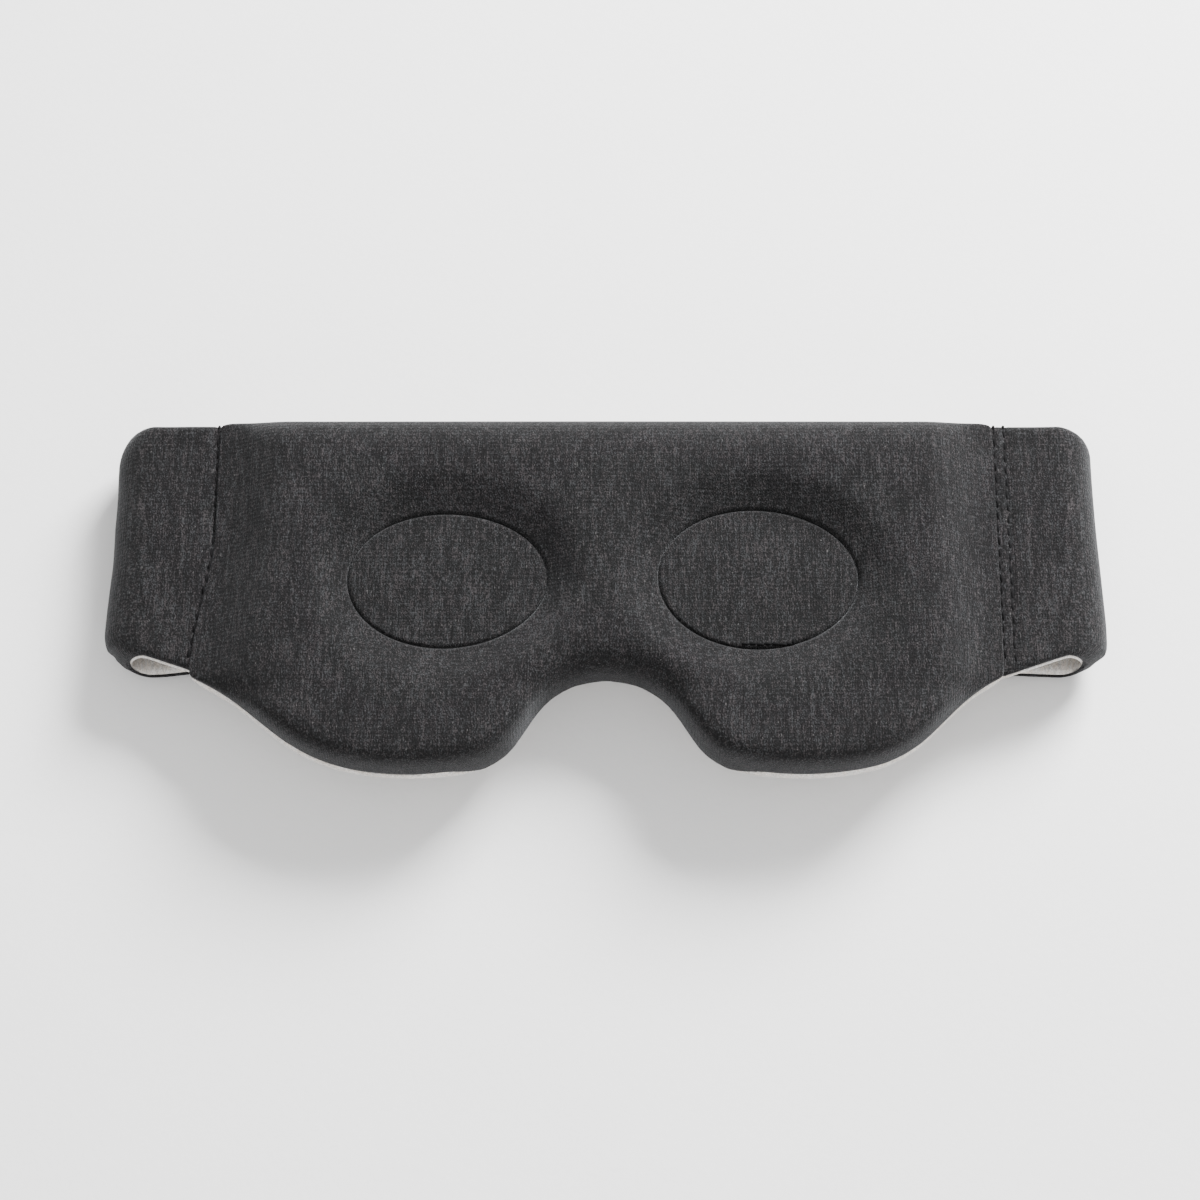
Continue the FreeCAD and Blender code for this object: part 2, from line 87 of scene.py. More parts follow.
def deselectAll():
    if bpy.context.mode != "OBJECT":
        bpy.ops.object.mode_set(mode="OBJECT")
    bpy.ops.object.select_all(action="DESELECT")


def pick(*objects):
    deselectAll()
    for obj in objects:
        obj.select_set(True)
    bpy.context.view_layer.objects.active = objects[0]
    return objects[0]


def applyModifier(obj, name):
    pick(obj)
    bpy.ops.object.modifier_apply(modifier=name)


def copyOf(obj, name):
    twin = obj.copy()
    twin.data = obj.data.copy()
    twin.name = name
    twin.parent = None
    twin.matrix_world = Matrix.Identity(4)
    for key in list(twin.keys()):
        del twin[key]
    bpy.context.scene.collection.objects.link(twin)
    return twin


def getPoints(obj):
    flat = np.empty(len(obj.data.vertices) * 3)
    obj.data.vertices.foreach_get("co", flat)
    return flat.reshape(-1, 3)


def getNormals(obj):
    flat = np.empty(len(obj.data.vertices) * 3)
    obj.data.vertices.foreach_get("normal", flat)
    return flat.reshape(-1, 3)


def setPoints(obj, points):
    obj.data.vertices.foreach_set("co", np.asarray(points, float).ravel())
    obj.data.update()


def selectFaces(obj, chosen):
    # leaves obj in edit mode with just the chosen faces selected
    pick(obj)
    bpy.ops.object.mode_set(mode="EDIT")
    bpy.ops.mesh.select_mode(type="FACE")
    bpy.ops.mesh.select_all(action="DESELECT")
    bpy.ops.object.mode_set(mode="OBJECT")
    obj.data.polygons.foreach_set("select", np.asarray(chosen, bool))
    bpy.ops.object.mode_set(mode="EDIT")


def faceCentres(obj):
    flat = np.empty(len(obj.data.polygons) * 3)
    obj.data.polygons.foreach_get("center", flat)
    return flat.reshape(-1, 3)


def dropFaces(obj, chosen):
    selectFaces(obj, chosen)
    bpy.ops.mesh.delete(type="FACE")
    bpy.ops.object.mode_set(mode="OBJECT")


def splitOff(obj, chosen, name):
    # the chosen faces become an object of their own
    before = set(bpy.data.objects)
    selectFaces(obj, chosen)
    bpy.ops.mesh.separate(type="SELECTED")
    bpy.ops.object.mode_set(mode="OBJECT")
    part = next(item for item in bpy.data.objects if item not in before)
    part.name = name
    part.data.name = name
    return part


def ramp(values, low, high):
    # 0 below low, 1 above high, smooth between them
    t = np.clip((values - low) / (high - low), 0, 1)
    return t * t * (3 - 2 * t)


def shadeSmooth(obj):
    pick(obj)
    bpy.ops.object.shade_smooth()


def thicken(obj, depth):
    # gives a skin its knit's thickness, inwards
    wall = obj.modifiers.new("Knit", "SOLIDIFY")
    wall.thickness = depth
    wall.offset = -1
    wall.use_rim = True
    applyModifier(obj, "Knit")
    shadeSmooth(obj)


def rememberCloth(obj, flat=None):
    # where each point lies on the cloth, for the weave to follow
    flat = getPoints(obj) if flat is None else flat
    cloth = obj.data.attributes.new("cloth", "FLOAT_VECTOR", "POINT")
    cloth.data.foreach_set("vector", np.asarray(flat, np.float32).ravel())


def softNoise(points, size, seed):
    offset = Vector((seed * 7.31, seed * 3.17, seed * 5.53))
    return np.array([noise.noise(Vector(point) / size + offset) for point in points])


# the padded front: cover, lining and the two oval panels

eyeSizes = {
    "wide": 23.0 * mm,          # half width
    "tall": {"left": 16.6 * mm, "right": 17.2 * mm},
    "set": {"left": (-0.5 * mm, 0.5 * mm), "right": (-1.3 * mm, 0.8 * mm)},     # sewn a little off the plan
    "uneven": 0.012,            # how far the hand-guided seam strays, as a share
    "phase": {"left": 0.6, "right": 2.4},
    "ditchDeep": 0.8 * mm,
    "ditchWide": 0.9 * mm,
    "dome": 0.3 * mm,           # crown of the oval between its seams
    "dishTall": 17 * mm,        # half height of the dish
    "dishRim": (1.35, 1.9),     # where the dish fades out, in shares of the oval
    "edgeFade": (44 * mm, 30 * mm),     # it stays put near the outline
    "level": 19 * mm,           # near an oval, what lies lower is its cavity
    "frontRise": 1.2 * mm,
    "fineRound": 2.4 * mm,      # the mesh is finer this near a seam
    "cavityRound": 4.5 * mm,
    "cutterTall": 14 * mm,
    "cutterMiddle": 22 * mm,
    "wallNear": 0.08 * mm,
}
padSizes = {
    "voxel": 1.5 * mm,
    "easeSteps": 8,
    "heldSide": 2.5 * mm,       # the side seams and the ovals hold still as the pad swells
    "heldOval": 1 * mm,
    "mass": 0.3,
    "bending": 2,
    "pressure": 4.0,
    "frames": 20,
    "cap": 1.5 * mm,            # how far the swelling may move a point
    "sideways": 0.25,           # share of that along the outline
    "border": 16.1 * mm,        # height of the seam between cover and lining
    "archDrop": 4.8 * mm,       # the cover reaches lower in the nose arch
    "flankRise": 0.6 * mm,
    "borderSink": 0.35 * mm,
    "sideRun": 17 * mm,         # over this the front comes down to the side seams
    "sideKeep": 0.10,
    "skin": 0.6 * mm,
    "lean": 4.4 * mm,           # how far the left side seam leans at its foot
    "topDrop": 0.6 * mm,        # the turned top edge draws in
    "lobeDrop": 1.3 * mm,       # and the lobes hang out a little
    "edgeRound": 2.4,           # how tightly the front turns over its lower edge, 1 is the plain foam
}
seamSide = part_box("front_cover")[1].x
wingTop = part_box("right_wing_cover")[1].z
eyeSides = ("left", "right")
eyePlans = {side: sum(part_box(f"{side}_eye_panel"), Vector()) / 2 for side in eyeSides}
eyeCentres = {side: (eyePlans[side].x + eyeSizes["set"][side][0],
                     eyePlans[side].y + eyeSizes["set"][side][1]) for side in eyeSides}


def seamStray(side, angle):
    # an oval's seam as shares of its plan, round the oval
    turn = eyeSizes["phase"][side]
    return 1 + eyeSizes["uneven"] * (np.sin(2 * angle + turn) * 0.6 + np.sin(3 * angle + 1) * 0.7)


def ovalDistance(points, side):
    # signed distance to an oval's seam, positive outside
    x = points[:, 0] - eyeCentres[side][0]
    y = points[:, 1] - eyeCentres[side][1]
    stray = seamStray(side, np.arctan2(y / eyeSizes["tall"][side], x / eyeSizes["wide"]))
    wide, tall = eyeSizes["wide"] * stray, eyeSizes["tall"][side] * stray
    rho = np.sqrt((x / wide) ** 2 + (y / tall) ** 2) + 1e-9
    slope = np.sqrt((x / wide ** 2) ** 2 + (y / tall ** 2) ** 2) / rho + 1e-9
    return (rho - 1) / slope


def settleEyes(pad):
    # each eye's hollow and dish move with its oval
    points = getPoints(pad)
    for side in eyeSides:
        plan = eyePlans[side]
        away = np.hypot((points[:, 0] - plan.x) / eyeSizes["wide"],
                        (points[:, 1] - plan.y) / eyeSizes["dishTall"])
        share = 1 - ramp(away, *eyeSizes["dishRim"])
        points[:, 0] += eyeSizes["set"][side][0] * share
        fade = ramp(np.abs(points[:, 1]), *eyeSizes["edgeFade"])
        points[:, 1] += eyeSizes["set"][side][1] * share * fade
    setPoints(pad, points)


def makePadBlank():
    kinds = ("eye_panel", "eye_foam", "eye_cup_lining")
    names = ["front_cover", "foam_core", "face_lining"]
    names += [f"{side}_{kind}" for side in eyeSides for kind in kinds]
    copies = [copyOf(nodes[name], "padBlank") for name in names]
    pad = pick(*copies)
    bpy.ops.object.join()
    pad.name = "padBlank"
    pad.data.materials.clear()
    bpy.ops.object.mode_set(mode="EDIT")
    bpy.ops.mesh.select_all(action="SELECT")
    bpy.ops.mesh.remove_doubles(threshold=weld)
    bpy.ops.object.mode_set(mode="OBJECT")
    pad.data.remesh_voxel_size = padSizes["voxel"]
    bpy.ops.object.voxel_remesh()
    ease = pad.modifiers.new("Ease", "SMOOTH")
    ease.factor = 0.5
    ease.iterations = padSizes["easeSteps"]
    applyModifier(pad, "Ease")
    settleEyes(pad)
    return pad


def swell(pad):
    # the foam presses the knit outwards between its seams
    start = getPoints(pad)
    pins = pad.vertex_groups.new(name="Seams")
    held = np.abs(start[:, 0]) > seamSide - padSizes["heldSide"]
    for side in eyeSides:
        held |= ovalDistance(start, side) < padSizes["heldOval"]
    pins.add([int(number) for number in np.nonzero(held)[0]], 1.0, "REPLACE")
    cloth = pad.modifiers.new("Cloth", "CLOTH")
    cloth.settings.use_pressure = True
    cloth.settings.uniform_pressure_force = padSizes["pressure"]
    cloth.settings.effector_weights.gravity = 0
    cloth.settings.vertex_group_mass = "Seams"
    cloth.settings.mass = padSizes["mass"]
    cloth.settings.bending_stiffness = padSizes["bending"]
    cloth.collision_settings.use_collision = False
    for step in range(1, padSizes["frames"] + 1):
        bpy.context.scene.frame_set(step)
    applyModifier(pad, "Cloth")
    bpy.context.scene.frame_set(1)
    moved = getPoints(pad) - start
    length = np.linalg.norm(moved, axis=1) + 1e-12
    print("pad swells, mean and most in mm:", round(length.mean() * 1000, 2), round(length.max() * 1000, 2))
    cap = padSizes["cap"] * (1 - ramp(-start[:, 2], -20 * mm, -11 * mm) * 0.8)     # less on the face side
    moved *= (cap * np.tanh(length / cap) / length)[:, None]
    moved[:, :2] *= padSizes["sideways"]
    setPoints(pad, start + moved)
    pad.vertex_groups.clear()


def refine(pad):
    finer = pad.modifiers.new("Finer", "SUBSURF")
    finer.levels = finer.render_levels = 1
    applyModifier(pad, "Finer")
    for side in eyeSides:
        centres = faceCentres(pad)
        near = np.abs(ovalDistance(centres, side)) < eyeSizes["fineRound"]
        selectFaces(pad, near & (centres[:, 2] > eyeSizes["level"]))
        bpy.ops.mesh.subdivide(number_cuts=1, smoothness=0)
        bpy.ops.object.mode_set(mode="OBJECT")


def ovalCutter(side):
    bpy.ops.mesh.primitive_cylinder_add(vertices=144, radius=1, depth=eyeSizes["cutterTall"],
                                        end_fill_type="NGON")
    cutter = bpy.context.object
    points = getPoints(cutter)
    angle = np.arctan2(points[:, 1], points[:, 0])
    stray = seamStray(side, angle)
    points[:, 0] = eyeCentres[side][0] + eyeSizes["wide"] * stray * np.cos(angle)
    points[:, 1] = eyeCentres[side][1] + eyeSizes["tall"][side] * stray * np.sin(angle)
    points[:, 2] += eyeSizes["cutterMiddle"]
    setPoints(cutter, points)
    return cutter


def dropCutWalls(obj, side):
    # the cut leaves upright walls along the oval, which the real seam has not
    steep = np.array([abs(face.normal.z) < 0.35 for face in obj.data.polygons])
    near = np.abs(ovalDistance(faceCentres(obj), side)) < eyeSizes["wallNear"]
    dropFaces(obj, steep & near)


def cutWith(obj, cutter, operation):
    trim = obj.modifiers.new("Trim", "BOOLEAN")
    trim.operation = operation
    trim.solver = "EXACT"
    trim.object = cutter
    applyModifier(obj, "Trim")


def rollSeams(obj):
    # both edges of an oval's seam turn down into a ditch, and the oval is crowned
    points = getPoints(obj)
    front = ramp(points[:, 2], eyeSizes["level"], eyeSizes["level"] + eyeSizes["frontRise"])
    for side in eyeSides:
        away = ovalDistance(points, side)
        near = np.clip(1 - np.abs(away) / eyeSizes["ditchWide"], 0, 1)
        points[:, 2] -= eyeSizes["ditchDeep"] * near ** 2 * front
        inside = np.clip(-away / eyeSizes["tall"][side], 0, 1)
        points[:, 2] += eyeSizes["dome"] * (1 - (1 - inside) ** 2) * (away < 0) * front
    setPoints(obj, points)


def shiftHeights(obj, share):
    # the seam between cover and lining wanders, dips in the nose arch and rises on the flanks
    points = getPoints(obj)
    aside = np.abs(points[:, 0])
    arch = (1 - ramp(aside, 26 * mm, 37 * mm)) * ramp(-points[:, 1], -14 * mm, 0)
    wander = 0.3 * mm * np.sin(points[:, 0] * 62 + 0.7) + 0.2 * mm * np.sin(points[:, 0] * 145)
    rise = wander - padSizes["archDrop"] * arch + padSizes["flankRise"] * ramp(aside, 58 * mm, 84 * mm)
    points[:, 2] += share * rise
    setPoints(obj, points)


def sinkBorder(pad):
    # the seam draws the outline in along the border of cover and lining
    points = getPoints(pad)
    sink = padSizes["borderSink"] * np.exp(-((points[:, 2] - padSizes["border"]) / (0.6 * mm)) ** 2)
    for side in eyeSides:
        sink *= ovalDistance(points, side) > 8 * mm
    setPoints(pad, points - getNormals(pad) * sink[:, None])


def easeSides(pad):
    # the front slopes down to the band, and turns over its lower edge in a tight round
    points = getPoints(pad)
    above = np.clip(points[:, 2] - wingTop, 0, None)
    slope = ramp(np.abs(points[:, 0]), seamSide - padSizes["sideRun"], seamSide)
    keep = 1 - (1 - padSizes["sideKeep"]) * slope
    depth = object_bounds()[1].z - wingTop
    share = np.clip(above / depth, 0, 1)
    fuller = depth * (1 - (1 - share) ** padSizes["edgeRound"])
    low = ramp(-points[:, 1], 24 * mm, 31 * mm)
    above = np.where(above > 0, above + (fuller - above) * low * (share < 1), 0)
    points[:, 2] = np.where(above > 0, wingTop + above * keep, points[:, 2])
    setPoints(pad, points)


def seamLean(y):
    # the left side seam leans outwards in its lower half
    return padSizes["lean"] * ramp(-y, -14 * mm, 20 * mm)


def leanSeam(obj):
    points = getPoints(obj)
    points[:, 1] -= padSizes["topDrop"] * ramp(points[:, 1], 26 * mm, 41 * mm)
    points[:, 1] -= padSizes["lobeDrop"] * ramp(-points[:, 1], 22 * mm, 42 * mm)
    points[:, 0] -= seamLean(points[:, 1]) * ramp(-points[:, 0], 62 * mm, seamSide)
    setPoints(obj, points)


def makePad():
    pad = makePadBlank()
    print("pad blank:", len(pad.data.polygons), "faces")
    swell(pad)
    refine(pad)
    easeSides(pad)
    ovals = {}
    for side in eyeSides:
        cutter = ovalCutter(side)
        oval = copyOf(pad, f"{side}OvalPanel")
        cutWith(oval, cutter, "INTERSECT")
        cutWith(pad, cutter, "DIFFERENCE")
        bpy.data.objects.remove(cutter)
        ovals[side] = oval
    for side, oval in ovals.items():
        dropCutWalls(oval, side)
        dropCutWalls(pad, side)
    # below the border everything is lining
    shiftHeights(pad, -1)
    selectFaces(pad, np.ones(len(pad.data.polygons), bool))
    bpy.ops.mesh.bisect(plane_co=(0, 0, padSizes["border"]), plane_no=(0, 0, 1))
    bpy.ops.object.mode_set(mode="OBJECT")
    below = faceCentres(pad)[:, 2] < padSizes["border"]
    sinkBorder(pad)
    shiftHeights(pad, 1)
    centres = faceCentres(pad)
    inCavity = np.zeros(len(centres), bool)
    for side in eyeSides:
        near = ovalDistance(centres, side) < eyeSizes["cavityRound"]
        inCavity |= near & (centres[:, 2] < eyeSizes["level"])
    lining = splitOff(pad, below | inCavity, "faceLining")
    pad.name = pad.data.name = "frontCover"
    rollSeams(pad)
    ceilings = {}
    for side, oval in ovals.items():
        rollSeams(oval)
        inner = faceCentres(oval)[:, 2] < eyeSizes["level"]
        ceilings[side] = splitOff(oval, inner, f"{side}CavityCeiling")
    return pad, lining, ovals, ceilings


frontCover, faceLining, ovalPanels, cavityCeilings = makePad()
for skin in (frontCover, faceLining, *ovalPanels.values(), *cavityCeilings.values()):
    leanSeam(skin)
    rememberCloth(skin)
    thicken(skin, padSizes["skin"])
print("padded front:", len(frontCover.data.polygons), "faces")


# the two halves of the band: wing, fold and strap in one run

bandSizes = {
    "step": 0.9 * mm,           # along the run
    "acrossFaces": 50,          # faces across each side
    "edgeFaces": 8,             # faces round each edge
    "rootInside": 2.5 * mm,     # how far the run starts inside the padded front
    "tipRound": 3.0 * mm,
    "wingEdge": 0.30,           # how far over the edge the lining reaches on the wing, of half the thickness
    "strapEdge": -0.42,         # and on the strap, where the cover turns in
    "seamPinch": 0.25 * mm,
    "rumple": 0.35 * mm,
    "wrinkle": 0.9 * mm,        # folds pressed into the lining at the turn
    "skin": 0.6 * mm,
    "flare": 1.0 * mm,          # the turn swings out a little towards its foot
    "rumpleCell": 13 * mm,
    "wrinkleCell": 3.2 * mm,
    "grooveDeep": 0.7 * mm,     # where stitches draw the knit down
    "grooveWide": 0.6 * mm,
    "tipInset": 6.8 * mm,       # a strap's tip is narrower than its fold by this at each edge
}
# radius of a fold's corners at the top and at the foot
foldCorners = {"left": (8.5 * mm, 8 * mm), "right": (6 * mm, 5 * mm)}
# rows of stitches, each so far beyond the side seam
seamRows = {"left": (0.1 * mm,), "right": (0.3 * mm, 2.6 * mm)}
mirrorSides = {"left": -1, "right": 1}
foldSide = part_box("right_fold_cover")[0].x
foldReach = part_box("right_fold_cover")[1].x - foldSide
bandLow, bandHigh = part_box("right_fold_cover")[0].y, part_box("right_fold_cover")[1].y
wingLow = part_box("right_wing_cover")[0].y
halfThick = (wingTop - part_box("right_wing_lining")[0].z) / 2
turnRadius = foldReach - halfThick
turnHeight = wingTop - foldReach
tipLow, tipHigh = bandLow + bandSizes["tipInset"], bandHigh - bandSizes["tipInset"]
tips = {"left": -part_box("left_strap_cover")[1].x, "right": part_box("right_strap_cover")[0].x}
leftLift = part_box("loop_patch")[1].z
rampFoot, rampHead = 105 * mm, 79 * mm


def bandPath(side, run):
    # place along the run: how far out, how high, and the slope of its outer face
    start = seamSide - bandSizes["rootInside"]
    wing = foldSide - start
    turn = math.pi * turnRadius
    angle = np.clip((run - wing) / turn, 0, 1) * math.pi
    along = np.clip(run, None, wing) - np.clip(run - wing - turn, 0, None)
    out = start + along + turnRadius * np.sin(angle)
    high = turnHeight + turnRadius * np.cos(angle)
    outer = np.stack([np.sin(angle), np.cos(angle)], 1)
    if side == "left":
        after = run > wing + turn
        high += after * leftLift * ramp(-out, -rampFoot, -rampHead)
        slope = np.gradient(high, out + 1e-9) * after
        tilt = np.stack([slope, -np.ones_like(slope)], 1)
        tilt /= np.linalg.norm(tilt, axis=1)[:, None]
        outer[after] = tilt[after]
    return out, high, outer


def bandEdges(side, run, out, length, wing):
    # the band's lower and upper edge along the run, rounded off at its tip
    turned = run > wing + math.pi * turnRadius / 2
    inWing = np.clip((foldSide - out) / (foldSide - seamSide), 0, 1) * ~turned
    inStrap = np.clip((foldSide - out) / (foldSide - tips[side]), 0, 1) * turned
    low = bandLow + (wingLow - bandLow) * inWing + (tipLow - bandLow) * inStrap
    top = bandHigh + (tipHigh - bandHigh) * inStrap
    fromEnd = length - run
    corner = bandSizes["tipRound"]
    pull = corner - np.sqrt(corner ** 2 - np.clip(corner - fromEnd, 0, corner) ** 2)
    return low + pull, top - pull


def bandBends(run, wing):
    # the angle of each spot round the band, and how the seam pinches it
    # the seam between cover and lining is higher on the wing than on the strap
    faces, edges = bandSizes["acrossFaces"], bandSizes["edgeFaces"]
    turnShare = ramp(run, wing - 4 * mm, wing + math.pi * turnRadius * 0.7)
    seam = np.degrees(np.arcsin(bandSizes["wingEdge"] * (1 - turnShare) + bandSizes["strapEdge"] * turnShare))
    bend = np.full((len(run), 2 * faces + 2 * edges), 90.0)
    bend[:, faces + edges:2 * faces + edges] = -90
    for step in range(edges):
        first, second = min(2 * step / edges, 1), max(2 * step / edges - 1, 0)
        bend[:, faces + step] = 90 + (seam - 90) * first - (seam + 90) * second
        bend[:, 2 * faces + edges + step] = -90 - (90 + seam) * first - (90 - seam) * second
    fromSeam = np.degrees(np.arcsin(np.sin(np.radians(bend)))) - seam[:, None]
    pinch = 1 - bandSizes["seamPinch"] / halfThick * np.exp(-(fromSeam / 12) ** 2)
    return np.radians(bend), pinch


def bandRumple(side, cloth, bend, run, wing, row):
    # the knit lies a little unevenly, and rumples where the turn presses it together
    rumple = bandSizes["rumple"] * softNoise(cloth * (1, 1, 0.3), bandSizes["rumpleCell"],
                                             3 if side == "left" else 8)
    squeezed = softNoise(cloth * (1, 0.22, 0.1), bandSizes["wrinkleCell"], 5 if side == "left" else 11)
    inTurn = ramp(run, wing - 5 * mm, wing + 3 * mm) * (1 - ramp(run, wing + 22 * mm, wing + 32 * mm))
    inner = np.clip(-np.sin(bend), 0, 1)
    rumple = rumple * (1 - ramp(run, wing + 35 * mm, wing + 60 * mm))[row]
    return rumple - bandSizes["wrinkle"] * np.abs(squeezed) * inner * inTurn[row]


def roundCorners(side, x, across):
    # the turn is tighter at its two edges, so its corners are round from the front
    topRadius, footRadius = foldCorners[side]
    fromTop = np.clip(1 - (bandHigh - across) / topRadius, 0, 1)
    fromFoot = np.clip(1 - (across - bandLow) / footRadius, 0, 1)
    tight = 0.45 + 0.55 * np.sqrt(1 - fromTop ** 2) * np.sqrt(1 - fromFoot ** 2)
    reach = tight * (1 + bandSizes["flare"] / foldReach * ramp(-across, -16 * mm, 9 * mm) * (tight > 0.9))
    return np.where(x > foldSide, foldSide + (x - foldSide) * reach, x)


def makeBandTube(side):
    wing = foldSide - seamSide + bandSizes["rootInside"]
    length = wing + math.pi * turnRadius + foldSide - tips[side]
    steps = round(length / bandSizes["step"])
    faces, edges = bandSizes["acrossFaces"], bandSizes["edgeFaces"]
    around = 2 * faces + 2 * edges
    deselectAll()
    bpy.ops.mesh.primitive_grid_add(x_subdivisions=steps, y_subdivisions=around, size=1)
    band = bpy.context.object
    grid = getPoints(band) + 0.5
    row = np.rint(grid[:, 0] * steps).astype(int)
    spot = np.rint(grid[:, 1] * around).astype(int) % around
    # each spot's share of the width: across the outer side, round an edge, back, and round the other
    share = np.concatenate([np.linspace(0, 1, faces + 1)[:-1], np.ones(edges),
                            np.linspace(1, 0, faces + 1)[:-1], np.zeros(edges)])
    run = np.linspace(0, length, steps + 1)
    out, high, outer = bandPath(side, run)
    low, top = bandEdges(side, run, out, length, wing)
    ends = np.minimum(run, length - run)
    flat = np.sqrt(1 - np.clip(1 - ends / halfThick, 0, 1) ** 2)
    bends, pinches = bandBends(run, wing)
    bend, pinch = bends[row, spot], pinches[row, spot]
    width = top - low - 2 * halfThick
    across = low[row] + halfThick + share[spot] * width[row] + halfThick * np.cos(bend) * pinch
    depth = halfThick * np.sin(bend) * pinch * flat[row]
    cloth = np.stack([run[row], across, depth], 1)
    depth = depth + bandRumple(side, cloth, bend, run, wing, row) * flat[row]
    sideways = out[row] - seamSide - (seamLean(across) if side == "left" else 0)
    for place in seamRows[side]:
        groove = bandSizes["grooveDeep"] * np.exp(-((sideways - place) / bandSizes["grooveWide"]) ** 2)
        depth -= groove * (run[row] < wing) * np.clip(np.sin(bend), 0, 1)
    x = roundCorners(side, out[row] + outer[row, 0] * depth, across)
    z = np.maximum(high[row] + outer[row, 1] * depth, 0)       # it rests flat on the table
    setPoints(band, np.stack([x * mirrorSides[side], across, z], 1))
    rememberCloth(band, cloth)
    spots = band.data.attributes.new("spot", "FLOAT", "POINT")
    spots.data.foreach_set("value", spot.astype(np.float32))
    bpy.ops.object.mode_set(mode="EDIT")
    bpy.ops.mesh.select_all(action="SELECT")
    bpy.ops.mesh.remove_doubles(threshold=weld)
    bpy.ops.mesh.normals_make_consistent(inside=False)
    bpy.ops.object.mode_set(mode="OBJECT")
    return band


def makeBand(side):
    cover = makeBandTube(side)
    spot = np.empty(len(cover.data.vertices))
    cover.data.attributes["spot"].data.foreach_get("value", spot)
    first = bandSizes["acrossFaces"] + bandSizes["edgeFaces"] / 2
    last = first + bandSizes["acrossFaces"] + bandSizes["edgeFaces"]
    corners = [spot[list(face.vertices)] for face in cover.data.polygons]
    inside = [min(around) >= first and max(around) <= last for around in corners]
    lining = splitOff(cover, inside, f"{side}BandLining")
    cover.name = cover.data.name = f"{side}BandCover"
    for skin in (cover, lining):
        thicken(skin, bandSizes["skin"])
    print(side, "band:", len(cover.data.polygons) + len(lining.data.polygons), "faces")
    return cover, lining


bands = {side: makeBand(side) for side in mirrorSides}


# sewing: one stitch is modelled, and each row is copies of it

threadSizes = {
    "long": 2.85 * mm,
    "radius": 0.29 * mm,
    "pitch": 3.1 * mm,
    "startLong": 1.8 * mm,      # the stitch that turns over the top edge
    "startRadius": 0.3 * mm,
    "patchPitch": 2.4 * mm,
    "patchLong": 1.9 * mm,
    "patchRadius": 0.2 * mm,
    "ovalRadius": 0.26 * mm,
}


def makeStitch(long, radius):
    deselectAll()
    bpy.ops.mesh.primitive_uv_sphere_add(segments=10, ring_count=8, radius=1, rotation=(0, math.pi / 2, 0))
    bpy.ops.object.transform_apply(location=False, rotation=True, scale=False)
    stitch = bpy.context.object
    points = getPoints(stitch)
    along = points[:, 0]
    body = np.sqrt(np.clip(1 - np.abs(along) ** 5, 0, 1))
    spread = np.linalg.norm(points[:, 1:], axis=1) + 1e-9
    points[:, 1:] *= (body / spread * (spread > 1e-6))[:, None] * radius
    points[:, 2] -= along ** 2 * radius * 1.7        # its ends sink into the cloth
    points[:, 0] = along * long / 2
    setPoints(stitch, points)
    return stitch


def sewRow(name, places):
    # places holds (middle, direction, up, length, radius) of each stitch
    copies = []
    for middle, direction, up, long, radius in places:
        stitch = makeStitch(long, radius)
        forward = Vector(direction).normalized()
        side = Vector(up).cross(forward).normalized()
        turn = Matrix((forward, side, forward.cross(side))).transposed().to_4x4()
        stitch.data.transform(Matrix.Translation(middle) @ turn)
        copies.append(stitch)
    row = pick(*copies)
    bpy.ops.object.join()
    row.name = row.data.name = name
    rememberCloth(row)
    shadeSmooth(row)
    return row


def heightOn(obj, x, y, fallback):
    hit, place = obj.ray_cast(Vector((x, y, 0.1)), Vector((0, 0, -1)))[:2]
    return place.z if hit else fallback


def makeSideStitches(side):
    cover = bands[side][0]
    bpy.context.view_layer.update()
    places = []
    for number, row in enumerate(seamRows[side]):
        y = bandHigh - (1.5 + number * 0.9) * mm
        while y > wingLow + 2.6 * mm:
            spots = []
            for end in (y + 1 * mm, y - 1 * mm):
                lean = float(seamLean(np.array(end))) if side == "left" else 0
                stray = 0.12 * mm * math.sin(end * 700 + number)
                x = mirrorSides[side] * (seamSide + row + lean + stray)
                spots.append(Vector((x, end, heightOn(cover, x, end, wingTop) + 0.02 * mm)))
            middle = (spots[0] + spots[1]) / 2
            places.append((middle, spots[1] - spots[0], (0, 0, 1),
                           threadSizes["long"], threadSizes["radius"]))
            y -= threadSizes["pitch"]
        # the thread turns over the top edge where the row was started
        x = mirrorSides[side] * (seamSide + row)
        top = Vector((x, bandHigh - 0.2 * mm, wingTop - 1.1 * mm))
        places.append((top, (0, 0.5, -1), (0, 1, 0.3), threadSizes["startLong"], threadSizes["startRadius"]))
    return sewRow(f"{side}SideStitches", places)


def makeOvalThread(side):
    # a twisted thread lies in the ditch of the oval's seam
    deselectAll()
    thin = 0.2
    bpy.ops.mesh.primitive_torus_add(major_segments=240, minor_segments=8, major_radius=1, minor_radius=thin)
    ring = bpy.context.object
    points = getPoints(ring)
    angle = np.arctan2(points[:, 1], points[:, 0])
    outwards = (np.linalg.norm(points[:, :2], axis=1) - 1) / thin * threadSizes["ovalRadius"]
    stray = seamStray(side, angle)
    points[:, 0] = eyeCentres[side][0] + (eyeSizes["wide"] * stray + outwards) * np.cos(angle)
    points[:, 1] = eyeCentres[side][1] + (eyeSizes["tall"][side] * stray + outwards) * np.sin(angle)
    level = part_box("left_eye_panel")[1].z - eyeSizes["ditchDeep"] + 0.2 * mm
    twist = 0.05 * mm * np.sin(angle * 90)
    points[:, 2] = level + points[:, 2] / thin * threadSizes["ovalRadius"] + twist
    setPoints(ring, points)
    ring.name = ring.data.name = f"{side}OvalThread"
    rememberCloth(ring)
    shadeSmooth(ring)
    return ring


